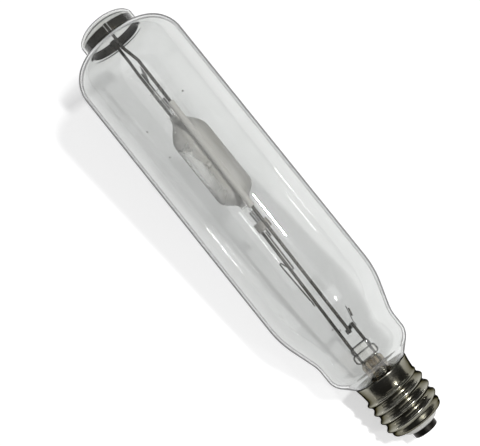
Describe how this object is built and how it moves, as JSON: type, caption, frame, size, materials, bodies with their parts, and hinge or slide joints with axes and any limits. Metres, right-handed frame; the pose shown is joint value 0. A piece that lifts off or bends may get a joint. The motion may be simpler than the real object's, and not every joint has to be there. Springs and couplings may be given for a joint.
{
  "type": "metal halide lamp",
  "caption": "Tubular clear-glass discharge lamp with a domed end, a quartz arc tube on a wire frame and a large screw cap.",
  "frame": {"origin": "middle of the centre contact's end face", "axes": "+Z along the lamp's axis from the cap to the dome; the near support rod is on the -Y side"},
  "size_m": [0.076, 0.076, 0.3257],
  "materials": {
    "bulb_glass": "clear blown glass, slightly grey",
    "stem_glass": "clear pressed glass, faintly brown",
    "quartz": "clear quartz, white coat at both ends",
    "plated_sheet": "nickel plated rolled sheet, slightly tarnished",
    "dark_contact": "dark tarnished metal",
    "glazed_ceramic": "pale glazed ceramic",
    "cement": "brown basing cement",
    "wire_metal": "drawn wire, half bright",
    "white_sleeve": "white ceramic tube",
    "dark_strip": "dark rolled spring strip",
    "getter_metal": "dark sintered metal",
    "tungsten": "grey drawn wire",
    "molybdenum": "dark foil",
    "copper_wire": "soft copper wire"
  },
  "bodies": {
    "root": {"outer_bulb": "bulb_glass", "stem_glass": "stem_glass", "exhaust_tube": "stem_glass", "arc_tube": "quartz", "cap_shell": "plated_sheet", "centre_contact": "dark_contact", "cap_insulator": "glazed_ceramic", "basing_cement": "cement", "lead_in_left": "wire_metal", "lead_in_right": "wire_metal", "near_support_rod": "wire_metal", "far_support_rod": "wire_metal", "upper_arc_lead": "wire_metal", "lower_arc_lead": "wire_metal", "flexible_lead": "wire_metal", "lower_clamp": "wire_metal", "insulating_sleeve": "white_sleeve", "dome_spring_left": "dark_strip", "dome_spring_right": "dark_strip", "spring_clip": "dark_strip", "upper_strap": "dark_strip", "cross_strip": "dark_strip", "getter_strip": "dark_strip", "getter_disc": "getter_metal", "upper_electrode": "tungsten", "lower_electrode": "tungsten", "upper_foil": "molybdenum", "lower_foil": "molybdenum", "contact_wire": "copper_wire", "shell_wire": "copper_wire"}
  },
  "joints": []
}
